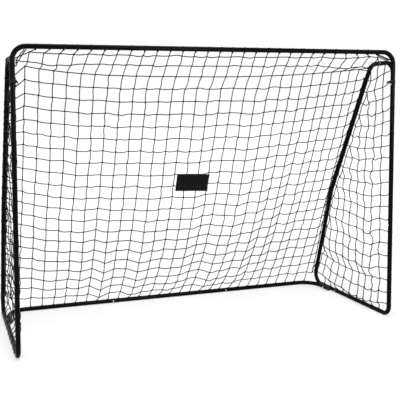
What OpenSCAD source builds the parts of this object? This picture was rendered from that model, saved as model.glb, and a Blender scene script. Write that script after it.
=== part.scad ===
// Garden football goal: a plug-together frame of round steel tube with a knotted net over it.
// Millimetres, +Z up. The mouth faces -Y and the net slopes down towards +Y. The origin lies on
// the ground, under the centre of the frame. Pieces are drawn for the right side (+X) and mirrored.

/* [Goal] */
// Width over the outsides of the posts
goal_w = 2130; // [1800:10:2400]
// Height from the ground to the top of the crossbar
goal_h = 1520; // [1400:10:1700]
// Depth from the front of the posts to the back of the rear bar
goal_d = 800; // [760:10:860]

/* [Tube] */
// Outside diameter of every tube
tube_d = 25; // [22:1:28]
// Wall of every tube
tube_wall = 1.2; // [1:0.1:1.5]
// Wall of the reduced plug at a tube's end
plug_wall = 1.2; // [1:0.1:1.5]
// Length of the reduced plug
plug_len = 45; // [40:1:48]
// Clearance all round between a plug and the tube it enters
plug_gap = 0.2; // [0.1:0.05:0.4]
// Length of the thick neck behind a plug
neck_len = 4; // [3:0.5:8]

/* [Side frame] */
// Drop from the crossbar's centre line to the top tube's
top_tube_drop = 54.5; // [48:0.5:70]
// Depth of the top tube's rear corner behind the post's centre line
top_tube_depth = 197; // [190:1:240]
// Height of the kink in the rear stay
kink_h = 660; // [560:10:760]
// Depth of that kink behind the post's centre line
kink_depth = 595; // [560:5:620]
// How far the stay's foot corner lies behind the rear bar's centre line
foot_overrun = 16; // [8:1:20]

/* [Bends, radii of the centre lines] */
// Upper corners of the mouth
corner_bend_r = 65; // [55:1:80]
// Front foot, from post to ground tube
front_foot_bend_r = 48; // [40:1:70]
// Branch that leaves the corner's leg
branch_bend_r = 50; // [40:1:55]
// Angle at which the branch leaves the leg
branch_lean = 45; // [40:1:50]
// Rear corner of the top tube
rear_top_bend_r = 75; // [50:1:78]
// Kink of the rear stay
kink_bend_r = 150; // [80:10:160]
// Rear foot, from stay to ground tube
rear_foot_bend_r = 60; // [45:1:66]
// Corners of the rear bar
rear_bar_bend_r = 110; // [80:5:130]

// How much thinner a tube is in its bends
bend_thinning = 0.1; // [0.04:0.02:0.2]

/* [Joints between tubes] */
// Distance of the bars' joints from the middle of the goal
bar_joint_x = 355; // [300:5:450]
// Distance of the corner's lower end from the top of the goal
corner_leg = 165; // [155:5:260]
// Height of the joint halfway down the post
post_joint_h = 557; // [400:5:800]
// Depth of the joint in the top tube, behind the post's centre line
branch_joint_depth = 75; // [70:1:90]
// Distance of the stay's joint above its kink
stay_joint_rise = 60; // [60:5:200]
// Distance of the ground tube's joint in front of the bolt in that tube
ground_joint_lead = 70; // [40:5:320]

/* [Snap buttons] */
// Diameter of a button
button_d = 8; // [6:0.5:10]
// How far a button stands out of the tube
button_proud = 1.8; // [1:0.1:3]
// Bevel round the top of a button
button_bevel = 1; // [0.5:0.1:1.5]
// Clearance all round a button in its holes
button_gap = 0.25; // [0.15:0.05:0.5]
// Distance of a button from the joint, along the plug
button_pos = 25; // [24:1:30]
// Width of a button's foot and of its leaf spring
leaf_w = 7; // [5:0.5:9]
// Thickness of the foot and of the leaf spring
leaf_t = 0.8; // [0.6:0.1:1]
// Length of a button's foot
foot_len = 12; // [10:1:14]
// Distance from a button to the bend of its leaf spring
leaf_reach = 37; // [30:1:45]

/* [Fasteners and caps] */
// Thread diameter of the bolts at the rear feet
bolt_d = 6; // [5:1:8]
// Clearance all round a bolt in its holes
bolt_gap = 0.25; // [0.15:0.05:0.5]
// Diameter of a bolt's head
bolt_head_d = 12; // [10:1:16]
// Height of a bolt's head
bolt_head_h = 3; // [2:0.5:5]
// Distance across the flats of a nut
nut_flats = 10; // [9:1:13]
// Height of a nut
nut_h = 5; // [4:0.5:7]
// Length of bolt that shows past the nut
bolt_tail = 2; // [1:0.5:4]
// Straight leg of the rear bar's corner, beside the ground tube
rear_leg_len = 90; // [80:5:120]
// Distance of the bolt from that leg's end
bolt_setback = 45; // [30:1:50]
// Thickness of the cap on that leg's end
cap_t = 3; // [2:0.5:5]
// Length of the cap's stem in the tube
cap_stem = 12; // [8:1:20]

/* [Net] */
// Size of one mesh
net_mesh = 70; // [60:1:100]
// Thickness of the cord
net_cord = 4; // [2:0.5:5]
// Thickness of the cord along the net's ridge
ridge_cord = 5; // [4:0.5:8]
// Distance of the ridge's ends down the stays from their top corners
ridge_end_drop = 35; // [30:5:60]
// How much further down the ridge hangs in the middle
ridge_sag = 45; // [0:5:60]
// Distance that the net's back hangs in towards the mouth, where it hangs most
net_hang = 165; // [100:5:220]

/* [Straps] */
// Width of a net strap
strap_w = 16; // [12:1:17]
// Thickness of a net strap
strap_t = 1.5; // [1:0.1:2]
// Free length of a strap's tail
strap_tail = 30; // [20:1:40]
// Distance of the post's strap below the joint in the corner's leg
post_strap_drop = 10; // [9.5:0.5:11]
// Height of the stay's strap above the ground
stay_strap_h = 125; // [115:5:300]

/* [Label] */
// Width of the bare label on the net
label_w = 200; // [120:5:300]
// Height of the label
label_h = 105; // [60:5:200]
// Thickness of the label
label_t = 1.2; // [0.6:0.1:3]
// Distance of the label's centre to the right of the middle
label_x = 0; // [-400:5:400]
// Distance of the label's centre down the net from its ridge
label_drop = 630; // [300:5:790]

/* [Fit] */
// Clearance where two pieces lie against each other
seat_gap = 0.3; // [0.2:0.05:0.5]

/* [Hidden] */
$fn = 64;
SIDES = [["left", -1], ["right", 1]];
// Kinds of tube end: open for a plug, reduced to a plug, or buried in another tube's weld
OPEN = 0;
PLUG = 1;
WELD = 2;
TUBE_BLACK = "#161616";
NET_BLACK = "#202020";
STEEL = "silver";
ACROSS = [1, 0, 0];
BACK = [0, 1, 0];
UP = [0, 0, 1];
cut = 1;
bend_lap = 1;
arc_steps = 6;
// Powers that set how full the net hangs beside the stays, and how low down it hangs most
hang_width = 3.5;
hang_lowness = 1.2;
// Corners of a knot's block, and its sides: across, back across, down and back down the net
KNOT_CORNERS = [[-1, -1], [1, -1], [1, 1], [-1, 1]];
KNOT_RIGHT = [1, 2, 6, 5];
KNOT_LEFT = [0, 3, 7, 4];
KNOT_DOWN = [2, 3, 7, 6];
KNOT_UP = [1, 0, 4, 5];

tube_r = tube_d / 2;
tube_bore = tube_d - 2 * tube_wall;
plug_d = tube_bore - 2 * plug_gap;
plug_bore = plug_d - 2 * plug_wall;

// Centre lines
side_x = goal_w / 2 - tube_r;
top_z = goal_h - tube_r;
low_z = tube_r;
front_y = -goal_d / 2 + tube_r;
rear_y = goal_d / 2 - tube_r;
branch_z = top_z - top_tube_drop;
corner_joint_z = goal_h - corner_leg;

// Corners of the side frame, as [y, z]
shoulder = [front_y + top_tube_depth, branch_z];
kink = [front_y + kink_depth, kink_h];
rear_foot = [rear_y + foot_overrun, low_z];
front_foot = [front_y, low_z];
stay_dir = unit(kink - shoulder);
stay_joint = kink - stay_dir * stay_joint_rise;

// The branch starts on the leg's axis and is straight until it is clear of the leg
branch_straight = tube_r * (1 + cos(branch_lean)) / sin(branch_lean) + cut;
branch_run = branch_bend_r * tan((90 - branch_lean) / 2) + branch_straight;
branch_root = [front_y, branch_z - branch_run * cos(branch_lean)];
branch_corner = [front_y + branch_run * sin(branch_lean), branch_z];

// The rear bar's corner ends in a leg along the inside of the ground tube
leg_x = side_x - tube_d - seat_gap;
leg_end_y = rear_y - rear_bar_bend_r - rear_leg_len;
bolt_y = leg_end_y + bolt_setback;
ground_joint = [bolt_y - ground_joint_lead, low_z];

// Each joint of the right side: name, place, direction of the plug, direction of the button
JOINTS = [
    ["crossbar", [bar_joint_x, front_y, top_z], ACROSS, -UP],
    ["corner", [side_x, front_y, corner_joint_z], -UP, -ACROSS],
    ["post", [side_x, front_y, post_joint_h], -UP, -ACROSS],
    ["branch", [side_x, front_y + branch_joint_depth, branch_z], BACK, -ACROSS],
    ["stay", [side_x, stay_joint.x, stay_joint.y], [0, stay_dir.x, stay_dir.y],
        [0, -stay_dir.y, stay_dir.x]],
    ["ground", [side_x, ground_joint.x, ground_joint.y], -BACK, -ACROSS],
    ["rear_bar", [bar_joint_x, rear_y, low_z], ACROSS, -BACK]];

// Snap button: its foot lies under the plug's wall, a leaf spring presses on the foot
button_tip = tube_r + button_proud;
foot_top = chord_height(plug_bore / 2, leaf_w / 2) - seat_gap;
foot_bottom = foot_top - leaf_t;
leaf_mid = foot_bottom - seat_gap - leaf_t / 2;
wall_mid = foot_top - leaf_t / 2;
leaf_bend = button_pos - leaf_reach;

// Net
net_edge = tube_r + seat_gap;
net_w = 2 * (side_x - net_edge);
strap_r = tube_r + seat_gap;
crossbar_at = [front_y, top_z];
rear_bar_at = [rear_y, low_z];
net_half = (net_w - net_cord) / 2;
ridge_half = (net_w - ridge_cord) / 2;
columns = round(net_w / net_mesh);
ridge_end = shoulder + stay_dir * ridge_end_drop;
ridge_edge = (ridge_cord * sqrt(2) + net_cord) / 2 + seat_gap;
back_dir = unit(rear_bar_at - ridge_end);
net_foot = rear_bar_at + [0, net_edge + net_cord / 2 * (back_dir.x - back_dir.y)];
upper_run = norm(kink - ridge_end);
lower_run = norm(net_foot - kink);
back_run = upper_run + lower_run;
SIDE_CORNERS = [
    [front_foot, front_foot_bend_r],
    [rear_foot, rear_foot_bend_r],
    [kink, kink_bend_r],
    [shoulder, rear_top_bend_r],
    [branch_corner, branch_bend_r],
    [branch_root, net_edge + 2 * net_cord]];

FRAME_NODES = ["crossbar_corner", "post_upper", "post_lower", "stay_upper", "stay_lower",
    "rear_bar_corner"];
SIDE_NODES = ["rear_foot_bolt", "rear_foot_nut", "rear_leg_cap", "net_strap_post",
    "net_strap_stay", "net_side"];

// ---- Small geometry helpers ----

function unit(v) = v / norm(v);
// How much the net hangs, from 0 at its edges to 1, across the goal and from its ridge down
function hang_across(x) = 1 - pow(min(1, abs(x) / net_half), hang_width);
function hang_down(share) = sin(180 * pow(share, hang_lowness));
// Places on the net as [y, z]: its edge down the stays, its ridge and its back
function edge_at(run) =
    run < upper_run ? ridge_end + stay_dir * run
    : kink + unit(net_foot - kink) * (run - upper_run);
function ridge_at(x) = ridge_end + stay_dir * ridge_sag * hang_across(x);
function back_at(x, run) =
    let (share = run / back_run,
        sag = stay_dir * ridge_sag * (1 - share),
        hang = left_of(back_dir) * -net_hang * hang_down(share))
    edge_at(run) + (sag + hang) * hang_across(x);
function chord_height(r, half_chord) = sqrt(r * r - half_chord * half_chord);
function left_of(u) = [-u.y, u.x];
function turn_at(a, b, c) =
    let (u = unit(b - a), v = unit(c - b)) atan2(u.x * v.y - u.y * v.x, u.x * v.x + u.y * v.y);
function heading(a, b) = atan2(b.y - a.y, b.x - a.x);
function tangent_len(a, b, c, r) = r * tan(abs(turn_at(a, b, c)) / 2);
function bend_centre(a, b, c, r) =
    b - unit(b - a) * tangent_len(a, b, c, r) + left_of(unit(b - a)) * r * sign(turn_at(a, b, c));
// The path's points with its first and last moved out along the path
function stretched(pts, first, last) =
    let (n = len(pts) - 1)
    [for (i = [0 : n])
        i == 0 ? pts[0] - unit(pts[1] - pts[0]) * first :
        i == n ? pts[n] + unit(pts[n] - pts[n - 1]) * last : pts[i]];
// A closed outline of left turns with rounded corners, moved inwards
function inset_outline(corners, inset) =
    let (n = len(corners))
    [for (i = [0 : n - 1])
        let (a = corners[(i + n - 1) % n][0], b = corners[i][0], c = corners[(i + 1) % n][0],
            r = corners[i][1], turn = turn_at(a, b, c), o = bend_centre(a, b, c, r),
            start = heading(a, b) - 90)
        for (k = [0 : arc_steps])
            let (angle = start + turn * k / arc_steps)
            o + (r - inset) * [cos(angle), sin(angle)]];
// A placing matrix from an origin and the directions of local x and z
function frame_of(o, x, z) =
    let (y = cross(z, x))
    [[x.x, y.x, z.x, o.x], [x.y, y.y, z.y, o.y], [x.z, y.z, z.z, o.z], [0, 0, 0, 1]];

module on_side(side) {
    if (side < 0) mirror([1, 0, 0]) children();
    else children();
}

// Local x and y become the goal's x and z, in the plane of the mouth
module front_plane() {
    translate([0, front_y, 0]) rotate([90, 0, 0]) children();
}

// Local x and y become the goal's y and z, in the plane of the right side frame
module side_plane() {
    translate([side_x, 0, 0]) rotate([90, 0, 90]) children();
}

module ground_plane() {
    translate([0, 0, low_z]) children();
}

// Places local z along the plug and local x along the button of the joints named
module at_joints(names) {
    for (j = JOINTS, name = names)
        if (j[0] == name) multmatrix(frame_of(j[1], j[3], j[2])) children();
}

// ---- Tube ----

module rod(p, q, d) {
    translate([p.x, p.y, 0]) rotate([0, 90, heading(p, q)]) cylinder(d = d, h = norm(q - p));
}

// One left-hand bend that starts at the local origin along x. It is a little thinner than the
// straight tube, as bending leaves it, and its ends reach a little way into its neighbours.
module bend(turn, r, d) {
    lap = bend_lap / r * 180 / PI;
    translate([0, r, 0]) rotate([0, 0, -90 - lap]) rotate_extrude(angle = turn + 2 * lap)
        translate([r, 0]) circle(d = d - bend_thinning);
}

// A round bar along a flat path of points, bent at each inner point
module bent_bar(pts, bends, d) {
    translate([pts[0].x, pts[0].y, 0]) rotate([0, 0, heading(pts[0], pts[1])])
        bar_leg(pts, bends, d, 0);
}

// The bar from point i on, drawn in the frame in which its last bend ends
module bar_leg(pts, bends, d, i) {
    last = len(pts) - 2;
    trim_in = i == 0 ? 0 : tangent_len(pts[i - 1], pts[i], pts[i + 1], bends[i - 1]);
    trim_out = i == last ? 0 : tangent_len(pts[i], pts[i + 1], pts[i + 2], bends[i]);
    straight = norm(pts[i + 1] - pts[i]) - trim_in - trim_out;
    rotate([0, 90, 0]) cylinder(d = d, h = straight);
    if (i < last) {
        turn = turn_at(pts[i], pts[i + 1], pts[i + 2]);
        side = sign(turn);
        translate([straight, 0, 0]) {
            mirror([0, side < 0 ? 1 : 0, 0]) bend(abs(turn), bends[i], d);
            translate([0, side * bends[i], 0]) rotate([0, 0, turn])
                translate([0, -side * bends[i], 0]) bar_leg(pts, bends, d, i + 1);
        }
    }
}

// Runs a rod out of a path's end, from `from` to `to` past the end
module end_rods(pts, ends, from, to, d) {
    n = len(pts) - 1;
    tips = [[pts[0], unit(pts[0] - pts[1])], [pts[n], unit(pts[n] - pts[n - 1])]];
    for (k = [0, 1])
        if (ends[k] == PLUG) rod(tips[k][0] + tips[k][1] * from, tips[k][0] + tips[k][1] * to, d);
}

module tube_outside(pts, bends, ends) {
    bent_bar(pts, bends, tube_d);
    end_rods(pts, ends, -neck_len, plug_len, plug_d);
}

module tube_inside(pts, bends, ends) {
    reach = [for (e = ends) e == PLUG ? -neck_len : e == OPEN ? cut : 0];
    bent_bar(stretched(pts, reach[0], reach[1]), bends, tube_bore);
    end_rods(pts, ends, -neck_len - cut, plug_len + cut, plug_bore);
}

module button_holes(names) {
    at_joints(names) translate([plug_bore / 4, 0, button_pos]) rotate([0, 90, 0])
        cylinder(d = button_d + 2 * button_gap, h = tube_d);
}

module bolt_hole() {
    translate([0, bolt_y, low_z]) rotate([0, 90, 0])
        cylinder(d = bolt_d + 2 * bolt_gap, h = goal_w);
}

module crossbar_corner() {
    mouth = [[bar_joint_x, top_z], [side_x, top_z], [side_x, corner_joint_z]];
    branch = [branch_root, branch_corner, [front_y + branch_joint_depth, branch_z]];
    color(TUBE_BLACK) difference() {
        union() {
            front_plane() tube_outside(mouth, [corner_bend_r], [OPEN, PLUG]);
            side_plane() tube_outside(branch, [branch_bend_r], [WELD, PLUG]);
        }
        front_plane() tube_inside(mouth, [corner_bend_r], [OPEN, PLUG]);
        side_plane() tube_inside(branch, [branch_bend_r], [WELD, PLUG]);
        button_holes(["crossbar", "corner", "branch"]);
    }
}

module side_tube(pts, bends, ends, holes) {
    color(TUBE_BLACK) difference() {
        side_plane() tube_outside(pts, bends, ends);
        side_plane() tube_inside(pts, bends, ends);
        button_holes(holes);
        children();
    }
}

module post_upper() {
    side_tube([[front_y, corner_joint_z], [front_y, post_joint_h]], [], [OPEN, PLUG],
        ["corner", "post"]);
}

module post_lower() {
    side_tube([[front_y, post_joint_h], front_foot, ground_joint], [front_foot_bend_r],
        [OPEN, OPEN], ["post", "ground"]);
}

module stay_upper() {
    side_tube([[front_y + branch_joint_depth, branch_z], shoulder, stay_joint],
        [rear_top_bend_r], [OPEN, PLUG], ["branch", "stay"]);
}

module stay_lower() {
    side_tube([stay_joint, kink, rear_foot, ground_joint], [kink_bend_r, rear_foot_bend_r],
        [OPEN, PLUG], ["stay", "ground"]) bolt_hole();
}

module rear_bar_corner() {
    path = [[bar_joint_x, rear_y], [leg_x, rear_y], [leg_x, leg_end_y]];
    color(TUBE_BLACK) difference() {
        ground_plane() tube_outside(path, [rear_bar_bend_r], [OPEN, OPEN]);
        ground_plane() tube_inside(path, [rear_bar_bend_r], [OPEN, OPEN]);
        button_holes(["rear_bar"]);
        bolt_hole();
    }
}

// The middle of a bar, a plug at each end
module bar_middle(joint) {
    path = [[-bar_joint_x, 0], [bar_joint_x, 0]];
    at = [for (j = JOINTS) if (j[0] == joint) j[1]][0];
    color(TUBE_BLACK) difference() {
        translate([0, at.y, at.z]) difference() {
            tube_outside(path, [], [PLUG, PLUG]);
            tube_inside(path, [], [PLUG, PLUG]);
        }
        for (s = SIDES) on_side(s[1]) button_holes([joint]);
    }
}

// ---- Snap buttons and their springs ----

module snap_button(joint) {
    color(STEEL) at_joints([joint]) translate([0, 0, button_pos]) {
        translate([foot_top, 0, 0]) rotate([0, 90, 0]) {
            cylinder(d = button_d, h = button_tip - button_bevel - foot_top);
            translate([0, 0, button_tip - button_bevel - foot_top])
                cylinder(d1 = button_d, d2 = button_d - 2 * button_bevel, h = button_bevel);
        }
        translate([foot_bottom, -leaf_w / 2, -foot_len / 2]) cube([leaf_t, leaf_w, foot_len]);
    }
}

// A flat strip between two points with round ends
module leaf_strip(p, q) {
    translate(p) rotate(heading(p, q)) translate([0, -leaf_t / 2])
        square([norm(q - p), leaf_t]);
    for (end = [p, q]) translate(end) circle(d = leaf_t);
}

// The V of one leaf spring, its bend deep in the tube and its arms under the button's foot
// and on the wall across from it
module leaf_spring() {
    flat = foot_len / 2 - leaf_t;
    path = [[leaf_mid, button_pos + flat], [leaf_mid, button_pos - flat], [0, leaf_bend],
        [-wall_mid, button_pos - flat], [-wall_mid, button_pos + flat]];
    rotate([90, 0, 0]) linear_extrude(height = leaf_w, center = true)
        for (i = [0 : len(path) - 2]) leaf_strip(path[i], path[i + 1]);
}

module leaf_springs() {
    color(STEEL) at_joints([for (j = JOINTS) j[0]]) leaf_spring();
}

// ---- Bolts, nuts and caps ----

module rear_foot_bolt() {
    head_x = goal_w / 2 + seat_gap;
    tip_x = leg_x - tube_r - seat_gap - nut_h - bolt_tail;
    color(STEEL) translate([0, bolt_y, low_z]) rotate([0, 90, 0]) {
        translate([0, 0, head_x]) cylinder(d = bolt_head_d, h = bolt_head_h);
        translate([0, 0, tip_x]) cylinder(d = bolt_d, h = head_x - tip_x);
    }
}

module rear_foot_nut() {
    thread_gap = 0.05;
    color(STEEL) translate([leg_x - tube_r - seat_gap - nut_h, bolt_y, low_z])
        rotate([0, 90, 0]) difference() {
            cylinder(d = nut_flats / cos(30), h = nut_h, $fn = 6);
            translate([0, 0, -cut]) cylinder(d = bolt_d + 2 * thread_gap, h = nut_h + 2 * cut);
        }
}

module rear_leg_cap() {
    color(TUBE_BLACK) translate([leg_x, leg_end_y, low_z]) rotate([-90, 0, 0]) {
        translate([0, 0, -cap_t]) cylinder(d = tube_d, h = cap_t);
        cylinder(d = tube_bore - 2 * plug_gap, h = cap_stem);
    }
}

// ---- Net ----

// A square lattice of cord between two corners, its outer cords inside them
module lattice(low, high) {
    size = high - low;
    counts = [max(1, round(size.x / net_mesh)), max(1, round(size.y / net_mesh))];
    pitch = [(size.x - net_cord) / counts.x, (size.y - net_cord) / counts.y];
    translate(low) {
        for (i = [0 : counts.x]) translate([i * pitch.x, 0]) square([net_cord, size.y]);
        for (i = [0 : counts.y]) translate([0, i * pitch.y]) square([size.x, net_cord]);
    }
}

// Cords between a grid of knots, as one solid. Each knot is a block, and all blocks are turned
// alike, so that every face is flat. The knots lie in rows, and sizes has each row's cord.
module netting(knots, down, sizes) {
    rows = len(knots) - 1;
    last = len(knots[0]) - 1;
    along = [0, down.x, down.y];
    out = cross(ACROSS, along);
    function block(r, c) = 8 * (r * (last + 1) + c);
    function side(at, corners) = [for (k = corners) at + k];
    function far_side(at, corners) = [for (k = [3 : -1 : 0]) at + corners[k]];
    function cord(from, leave, to, enter) = [for (k = [0 : 3]) let (next = (k + 1) % 4)
        [to + enter[k], to + enter[next], from + leave[next], from + leave[k]]];
    points = [for (r = [0 : rows], c = [0 : last], f = [-1, 1], k = KNOT_CORNERS)
        knots[r][c] + sizes[r] / 2 * (k.x * ACROSS + k.y * along + f * out)];
    faces = [
        for (r = [0 : rows], c = [0 : last]) each [
            side(block(r, c), [0, 1, 2, 3]), side(block(r, c), [7, 6, 5, 4])],
        for (r = [0 : rows], c = [0 : last - 1]) each
            cord(block(r, c), KNOT_RIGHT, block(r, c + 1), KNOT_LEFT),
        for (r = [0 : rows - 1], c = [0 : last]) each
            cord(block(r, c), KNOT_DOWN, block(r + 1, c), KNOT_UP),
        for (r = [0 : rows]) each [
            side(block(r, 0), KNOT_LEFT), far_side(block(r, last), KNOT_RIGHT)],
        for (c = [0 : last]) each [
            side(block(0, c), KNOT_UP), far_side(block(rows, c), KNOT_DOWN)]];
    polyhedron(points, faces);
}

function same_cord(rows) = [for (r = [0 : rows]) net_cord];

module net_top() {
    rows = max(1, round(norm(ridge_end - crossbar_at) / net_mesh));
    roof_dir = unit(ridge_at(0) - crossbar_at);
    function half(r) = r == 0 ? side_x - corner_bend_r : r < rows ? net_half : ridge_half;
    knots = [for (r = [0 : rows]) [for (c = [0 : columns])
        let (share = 2 * c / columns - 1,
            ridge = ridge_at(share * net_half),
            bar = crossbar_at + unit(ridge - crossbar_at) * (net_edge + net_cord / 2),
            at = bar + (ridge - bar) * r / rows)
        [share * half(r), at.x, at.y]]];
    color(NET_BLACK) netting(knots, roof_dir, [for (r = [0 : rows]) r < rows ? net_cord : ridge_cord]);
}

// Rows of the net's back between two places down it, each place away from the other by an edge
module net_back(from, to, from_edge) {
    rows = max(1, round((to - from) / net_mesh));
    knots = [for (r = [0 : rows]) [for (c = [0 : columns])
        let (x = (2 * c / columns - 1) * net_half,
            edge = r == 0 ? from_edge : 0,
            at = back_at(x, from + (to - from) * r / rows) + back_dir * edge)
        [x, at.x, at.y]]];
    color(NET_BLACK) netting(knots, back_dir, same_cord(rows));
}

module net_back_upper() {
    net_back(0, upper_run, ridge_edge);
}

module net_back_lower() {
    net_back(upper_run, back_run, net_cord + seat_gap);
}

module net_side() {
    outline = inset_outline(SIDE_CORNERS, net_edge);
    low = [min([for (p = outline) p.x]), min([for (p = outline) p.y])];
    high = [max([for (p = outline) p.x]), max([for (p = outline) p.y])];
    color(NET_BLACK) difference() {
        side_plane() linear_extrude(height = net_cord, center = true) {
            difference() {
                polygon(outline);
                polygon(inset_outline(SIDE_CORNERS, net_edge + net_cord));
            }
            intersection() {
                polygon(outline);
                lattice(low, high);
            }
        }
        at_post_strap() strap_room();
        at_stay_strap() strap_room();
    }
}

// The label lies on the mouth's side of the net, in the plane that touches it at the label's centre
module net_label() {
    step = 1;
    at = back_at(label_x, label_drop);
    aside = back_at(label_x + step, label_drop) - back_at(label_x - step, label_drop);
    below = back_at(label_x, label_drop + step) - back_at(label_x, label_drop - step);
    across = unit([2 * step, aside.x, aside.y]);
    out = unit(cross(across, [0, below.x, below.y]));
    turn = [out.y, out.z] * back_dir;
    proud = net_cord / 2 * (abs(out.x) + abs(turn) + sqrt(1 - turn * turn)) + seat_gap;
    color(NET_BLACK) multmatrix(frame_of([label_x, at.x, at.y], across, out))
        translate([-label_w / 2, -label_h / 2, -proud - label_t])
            cube([label_w, label_h, label_t]);
}

// ---- Straps round the tubes, which run along local z; the tails lie along local x ----

module at_post_strap() {
    multmatrix(frame_of([side_x, front_y, corner_joint_z - post_strap_drop], -ACROSS, UP))
        children();
}

module at_stay_strap() {
    down = unit(rear_foot - kink);
    at = kink + down * (kink.y - stay_strap_h) / -down.y;
    multmatrix(frame_of([side_x, at.x, at.y], -ACROSS, [0, down.x, down.y])) children();
}

// The room that a strap takes up round its tube
module strap_room() {
    cylinder(r = strap_r + strap_t + seat_gap, h = strap_w + 2 * seat_gap, center = true);
}

module strap() {
    color(NET_BLACK) difference() {
        union() {
            cylinder(r = strap_r + strap_t, h = strap_w, center = true);
            translate([0, -strap_t / 2, -strap_w / 2])
                cube([strap_r + strap_t + strap_tail, strap_t, strap_w]);
        }
        cylinder(r = strap_r, h = strap_w + 2 * cut, center = true);
    }
}

module net_strap_post() {
    at_post_strap() strap();
}

module net_strap_stay() {
    at_stay_strap() strap();
}

// ---- Nodes ----

bar_middle("crossbar");  // crossbar_middle
bar_middle("rear_bar");  // rear_bar_middle
net_top();
net_back_upper();
net_back_lower();
net_label();
for (s = SIDES) {
    on_side(s[1]) crossbar_corner();
    on_side(s[1]) post_upper();
    on_side(s[1]) post_lower();
    on_side(s[1]) stay_upper();
    on_side(s[1]) stay_lower();
    on_side(s[1]) rear_bar_corner();
    on_side(s[1]) rear_foot_bolt();
    on_side(s[1]) rear_foot_nut();
    on_side(s[1]) rear_leg_cap();
    on_side(s[1]) net_strap_post();
    on_side(s[1]) net_strap_stay();
    on_side(s[1]) net_side();
    on_side(s[1]) leaf_springs();
    for (j = JOINTS)
        on_side(s[1]) snap_button(j[0]);
}
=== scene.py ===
import math

import bmesh
import bpy
import numpy as np
from mathutils import Matrix, Vector


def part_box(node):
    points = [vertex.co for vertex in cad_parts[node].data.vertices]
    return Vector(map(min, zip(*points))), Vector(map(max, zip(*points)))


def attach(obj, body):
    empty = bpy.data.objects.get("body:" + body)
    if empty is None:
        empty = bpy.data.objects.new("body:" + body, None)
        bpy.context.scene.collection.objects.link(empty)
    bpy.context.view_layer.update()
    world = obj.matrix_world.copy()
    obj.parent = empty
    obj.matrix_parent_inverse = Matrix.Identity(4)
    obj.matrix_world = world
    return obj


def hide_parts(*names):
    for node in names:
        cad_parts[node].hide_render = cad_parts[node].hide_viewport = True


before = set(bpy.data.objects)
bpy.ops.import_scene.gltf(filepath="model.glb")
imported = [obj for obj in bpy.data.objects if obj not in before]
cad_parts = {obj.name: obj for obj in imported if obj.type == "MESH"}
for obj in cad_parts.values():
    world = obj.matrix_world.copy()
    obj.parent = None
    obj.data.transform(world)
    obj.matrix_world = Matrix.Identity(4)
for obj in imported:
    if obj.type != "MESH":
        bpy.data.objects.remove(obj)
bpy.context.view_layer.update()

# A garden football goal. The frame's tubes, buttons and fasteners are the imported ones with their
# finishes added here. The net, its loops, the straps and the label are made here, in metres.
SIDES = (("left", -1), ("right", 1))
CORNERS = ((-1, -1), (1, -1), (1, 1), (-1, 1))
ACROSS, BACK, UP = np.eye(3)
TURN = 2 * math.pi
chance = np.random.default_rng(31)


# ---- Sizes ----

def middle(node):
    low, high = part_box(node)
    return np.array((low + high) / 2)


post_low, post_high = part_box("post_upper_right")
TUBE_R = (post_high.x - post_low.x) / 2
SIDE_X, FRONT_Y = middle("post_upper_right")[:2]
TOP_Z = middle("crossbar_middle")[2]
REAR_Y, LOW_Z = middle("rear_bar_middle")[1:]
BRANCH_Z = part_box("stay_upper_right")[1].z - TUBE_R

# Bars and the side frame's corners as (y, z), and the radii of its bends
TOP_TUBE_DEPTH = 0.197
BRANCH_DEPTH = 0.0367
KINK_DEPTH, KINK_Z = 0.595, 0.660
FOOT_OVERRUN, FOOT_RISE = 0.016, 0.05
SHOULDER_BEND, KINK_BEND = 0.075, 0.150
TOP_BAR, REAR_BAR = np.array([FRONT_Y, TOP_Z]), np.array([REAR_Y, LOW_Z])
BRANCH = np.array([FRONT_Y + BRANCH_DEPTH, BRANCH_Z])
SHOULDER = np.array([FRONT_Y + TOP_TUBE_DEPTH, BRANCH_Z])
KINK = np.array([FRONT_Y + KINK_DEPTH, KINK_Z])
REAR_FOOT = np.array([REAR_Y + FOOT_OVERRUN, LOW_Z])

# Net: its cords and ties, and how many meshes it has across and down
CORD_R, RIDGE_R, TIE_R = 0.0026, 0.0027, 0.0007
CORD_CLEAR = 0.0003
COLUMNS, ROWS, RIDGE_ROW, FOLD_ROW = 30, 24, 3, 15
REACH = TUBE_R + CORD_R + CORD_CLEAR
# How unevenly its cords were knotted, as a share of their length
LOOSE, SIDE_LOOSE = 0.022, 0.045
# Ways from the crossbar's and the rear bar's middle to the knots tied on them
BAR_TIE = np.array([0, 0.55, -0.835])
REAR_TIE = np.array([0, -0.42, 0.908])


# ---- Vectors and paths ----

NEXT_TO_NOTHING = 1e-12


def unit(v):
    v = np.asarray(v, float)
    return v / np.maximum(np.linalg.norm(v, axis=-1, keepdims=True), NEXT_TO_NOTHING)


class Path:
    """A line through points, asked for places by the distance along it."""

    def __init__(self, points):
        self.points = np.array(points, float)
        steps = np.linalg.norm(np.diff(self.points, axis=0), axis=1)
        self.run = np.concatenate([[0], np.cumsum(steps)])
        self.length = self.run[-1]

    def at(self, run):
        return np.array([np.interp(run, self.run, column) for column in self.points.T]).T

    def along(self, run, reach=0.004):
        return unit(self.at(np.asarray(run) + reach) - self.at(np.asarray(run) - reach))


def rounded(corners, radii, steps=8):
    """A path of (y, z) points with its inner corners rounded."""
    corners = [np.array(c, float) for c in corners]
    points = [corners[0]]
    for a, b, c, radius in zip(corners, corners[1:], corners[2:], radii):
        go, leave = unit(b - a), unit(c - b)
        turn = math.atan2(go[0] * leave[1] - go[1] * leave[0], go @ leave)
        start = b - go * radius * math.tan(abs(turn) / 2)
        centre = start + np.array([-go[1], go[0]]) * radius * np.sign(turn)
        first = math.atan2(*(start - centre)[::-1])
        for k in range(steps + 1):
            angle = first + turn * k / steps
            points.append(centre + radius * np.array([math.cos(angle), math.sin(angle)]))
    return Path(points + [corners[-1]])


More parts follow.
